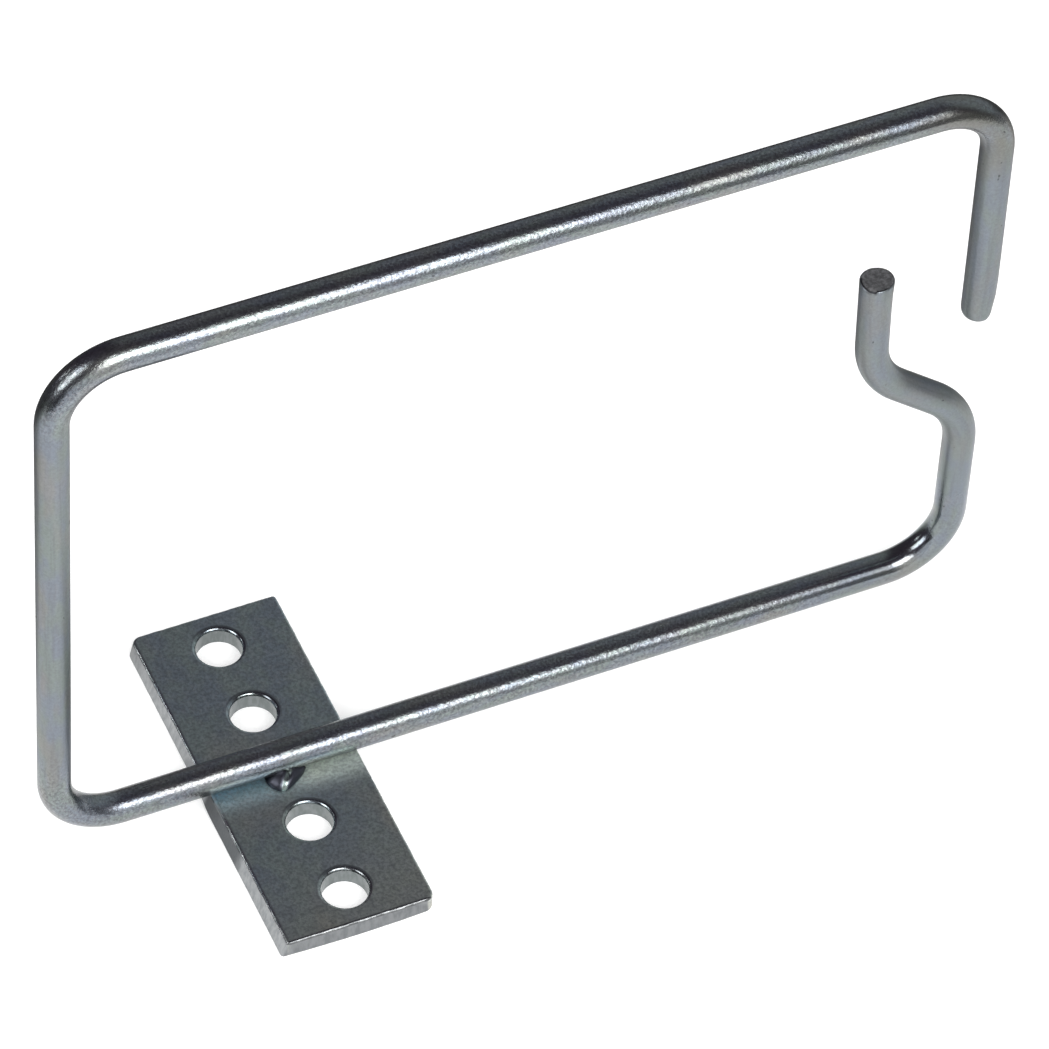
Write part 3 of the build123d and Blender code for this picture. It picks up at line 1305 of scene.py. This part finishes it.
@dataclass
class Studio:
    """Floor, lamps, dark surrounds for the metal to mirror, and the camera."""

    aim: Triple = (0.037595, 0.0, 0.042103)
    turn: float = math.radians(-26.4224)
    lift: float = math.radians(49.5976)
    roll: float = math.radians(3.7374)
    distance: float = 1.11704
    focal_length: float = 262.908
    sensor: float = 36.0
    floor_reach: float = 4.0
    floor_drop: float = 0.05 * MM
    floor_colour: Colour = (0.80, 0.80, 0.80)
    floor_lift: float = 0.38
    mirror_lift: float = 0.30
    table_middle: float = 0.037
    table_half_width: float = 0.33
    table_front: float = 0.19
    table_blend: float = 0.03
    shade_start: float = 0.015
    shade_full: float = 0.040
    far_shade_full: float = 0.120
    near_shade: float = 0.50
    far_shade: float = 0.10
    apron_least: float = 0.02
    apron_low: float = 0.20
    apron_rise: float = 0.92
    apron_left: float = 0.11
    apron_right: float = 0.18
    dark_left: float = -0.40
    bright_left: float = -0.26
    apron_place: float = -0.36
    apron_top: float = 0.23
    apron_reach: float = 0.6
    surround_radius: float = 3.2
    ceiling: Colour = (0.082, 0.068, 0.090)
    wall: Colour = (0.46, 0.49, 0.50)
    wall_turn: float = math.radians(115.0)
    wall_lift: float = math.radians(15.0)
    wall_spread: Band = (math.radians(60.0), math.radians(28.0))
    fill: float = 0.62
    softboxes: tuple[Softbox, ...] = (
        Softbox("front_softbox", (0.04, -0.37, 0.355), 0.28, 0.28, 5.95),
        Softbox("front_right_softbox", (0.25, -0.36, 0.345), 0.13, 0.24, 1.5),
        Softbox("left_softbox", (-0.80, -0.07, 0.62), 0.40, 0.62, 3.95),
        Softbox("small_left_softbox", (-0.62, 0.52, 0.38), 0.12, 0.12, 3.0),
    )

    @staticmethod
    def _way(turn: float, lift: float) -> Vector:
        """Gives the way from the object at a turn from the front and a lift above the floor."""
        return Vector(
            (math.sin(turn) * math.cos(lift), -math.cos(turn) * math.cos(lift), math.sin(lift))
        )

    def view_axes(self) -> Matrix:
        """Works out the camera's place and direction.

        Returns:
            The camera's matrix.
        """
        back = self._way(self.turn, self.lift)
        right = Vector((math.cos(self.turn), math.sin(self.turn), 0.0))
        up = back.cross(right)
        rolled_right = right * math.cos(self.roll) + up * math.sin(self.roll)
        rolled_up = up * math.cos(self.roll) - right * math.sin(self.roll)
        turned = Matrix((rolled_right, rolled_up, back)).transposed().to_4x4()
        return Matrix.Translation(Vector(self.aim) + back * self.distance) @ turned

    def camera(self) -> None:
        """Sets the camera where the photograph was taken from."""
        lens = bpy.data.cameras.new("camera")
        lens.lens = self.focal_length
        lens.sensor_width = self.sensor
        lens.sensor_fit = "HORIZONTAL"
        camera = bpy.data.objects.new("camera", lens)
        bpy.context.scene.collection.objects.link(camera)
        camera.matrix_world = self.view_axes()
        bpy.context.scene.camera = camera

    def _apron_level(self, x: Term) -> Term:
        """Tells how bright the surroundings under the front lamp are, from left to right."""
        lit = x.ramp(self.apron_right, self.apron_left) * self.apron_rise + self.apron_low
        return lit * x.ramp(self.dark_left, self.bright_left) + self.apron_least

    def apron(self) -> None:
        """Hangs a card under the front lamp for the wire to mirror, brighter on the left."""
        material = bpy.data.materials.new("apron_card")
        sheet = NodeSheet(material)
        _, x, _, _ = sheet.place()
        glow = {"Color": sheet.grey(self._apron_level(x))}
        sheet.show(sheet.add("ShaderNodeEmission", sockets=glow))
        bm = bmesh.new()
        made = bmesh.ops.create_grid(bm, x_segments=1, y_segments=1, size=1.0)["verts"]
        half_height = self.apron_top / 2
        bmesh.ops.scale(bm, verts=made, vec=(self.apron_reach, half_height, 1.0))
        upright = Matrix.Rotation(math.radians(90.0), 3, "X")
        bmesh.ops.rotate(bm, verts=made, cent=(0.0, 0.0, 0.0), matrix=upright)
        bmesh.ops.translate(bm, verts=made, vec=(0.0, self.apron_place, half_height))
        self._only_in_mirrors(finish_mesh(bm, "apron", material))

    def floor(self) -> None:
        """Lays the pale floor. In mirrors it darkens past the table's edge and behind the ring."""
        material = bpy.data.materials.new("floor_paper")
        sheet = NodeSheet(material)
        path = sheet.add("ShaderNodeLightPath", output="Is Camera Ray")
        mirrored = path.sibling("Is Glossy Ray")
        _, x, y, _ = sheet.place()
        beside = abs(x - self.table_middle) - self.table_half_width
        before = 0.0 - y - self.table_front
        off_table = beside.larger(before).ramp(0.0, self.table_blend)
        behind = y.ramp(self.shade_start, self.shade_full)
        far = y.ramp(self.shade_full, self.far_shade_full)
        shade = far * (self.far_shade - self.near_shade) + self.near_shade
        level = self._apron_level(x) * (1 - behind) + behind * shade
        lift = path * self.floor_lift + mirrored * self.mirror_lift
        matt = sheet.add("ShaderNodeBsdfDiffuse", sockets={"Color": (*self.floor_colour, 1.0)})
        lifted = sheet.add("ShaderNodeEmission", sockets={"Strength": lift})
        paper = sheet.add("ShaderNodeAddShader", sockets={0: matt, 1: lifted})
        dark = sheet.add("ShaderNodeEmission", sockets={"Color": sheet.grey(level)})
        share = off_table.larger(behind) * mirrored
        sheet.show(sheet.add("ShaderNodeMixShader", sockets={0: share, 1: paper, 2: dark}))
        bm = bmesh.new()
        bmesh.ops.create_grid(bm, x_segments=1, y_segments=1, size=self.floor_reach)
        bmesh.ops.translate(bm, verts=bm.verts, vec=(0.0, 0.0, -self.floor_drop))
        finish_mesh(bm, "floor", material)

    def world(self) -> None:
        """Fills the shadows with an even light and shows white behind the floor."""
        world = bpy.data.worlds.new("studio")
        bpy.context.scene.world = world
        sheet = NodeSheet(world)
        path = sheet.add("ShaderNodeLightPath", output="Is Camera Ray")
        seen = path.larger(path.sibling("Is Glossy Ray")).larger(path.sibling("Is Transmission Ray"))
        level = seen * (1 - self.fill) + self.fill
        glow = {"Color": (*WHITE, 1.0), "Strength": level}
        sheet.show(sheet.add("ShaderNodeBackground", sockets=glow))

    def surround(self) -> None:
        """Hangs the dark tent that only mirror reflections see, with a grey wall on its right."""
        material = bpy.data.materials.new("dark_tent")
        sheet = NodeSheet(material)
        place = sheet.add("ShaderNodeTexCoord", output="Object")
        way = sheet.add("ShaderNodeVectorMath", {"operation": "NORMALIZE"}, {0: place})
        ways = {0: way, 1: self._way(self.wall_turn, self.wall_lift)}
        facing = sheet.add("ShaderNodeVectorMath", {"operation": "DOT_PRODUCT"}, ways, "Value")
        share = facing.ramp(*(math.cos(turn) for turn in self.wall_spread))
        glow = {"Color": sheet.mix(share, self.ceiling, self.wall)}
        sheet.show(sheet.add("ShaderNodeEmission", sockets=glow))
        bm = bmesh.new()
        bmesh.ops.create_uvsphere(bm, u_segments=48, v_segments=24, radius=self.surround_radius)
        self._only_in_mirrors(finish_mesh(bm, "tent", material))

    def _only_in_mirrors(self, card: Object) -> None:
        """Hides a stage card from all but mirror reflections."""
        card.visible_camera = False
        card.visible_diffuse = False
        card.visible_transmission = False
        card.visible_volume_scatter = False
        card.visible_shadow = False

    def build(self) -> None:
        """Sets up the whole studio."""
        self.floor()
        self.world()
        self.surround()
        self.apron()
        aim = Vector(self.aim)
        for softbox in self.softboxes:
            softbox.build(aim)
        self.camera()


def dress(piece: Object, node: str) -> None:
    """Makes a piece stand for its CAD node.

    Args:
        piece: The new piece.
        node: The node that it replaces.
    """
    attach(piece, BODY)
    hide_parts(node)
    log.info("%s stands for %s: %d faces", piece.name, node, len(piece.data.polygons))


def main() -> None:
    """Builds the pieces and the studio."""
    logging.basicConfig(level=logging.INFO, format="%(name)s: %(message)s")
    scene = bpy.context.scene
    scene.view_settings.view_transform = "Standard"

    ring = WireRing(*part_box("wire_ring"))
    dress(ring.build(WireZinc().material()), "wire_ring")

    plate = MountingPlate(*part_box("mounting_plate"))
    dress(plate.build(plate.finish().material()), "mounting_plate")

    weld_finish = WeldZinc().material()
    for name, node, side in (
        ("near_bead", "front_weld", Side.NEAR),
        ("far_bead", "rear_weld", Side.FAR),
    ):
        bead = WeldBead(name, *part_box(node), side)
        dress(bead.build(weld_finish), node)

    Studio().build()


if __name__ == "__main__":
    main()
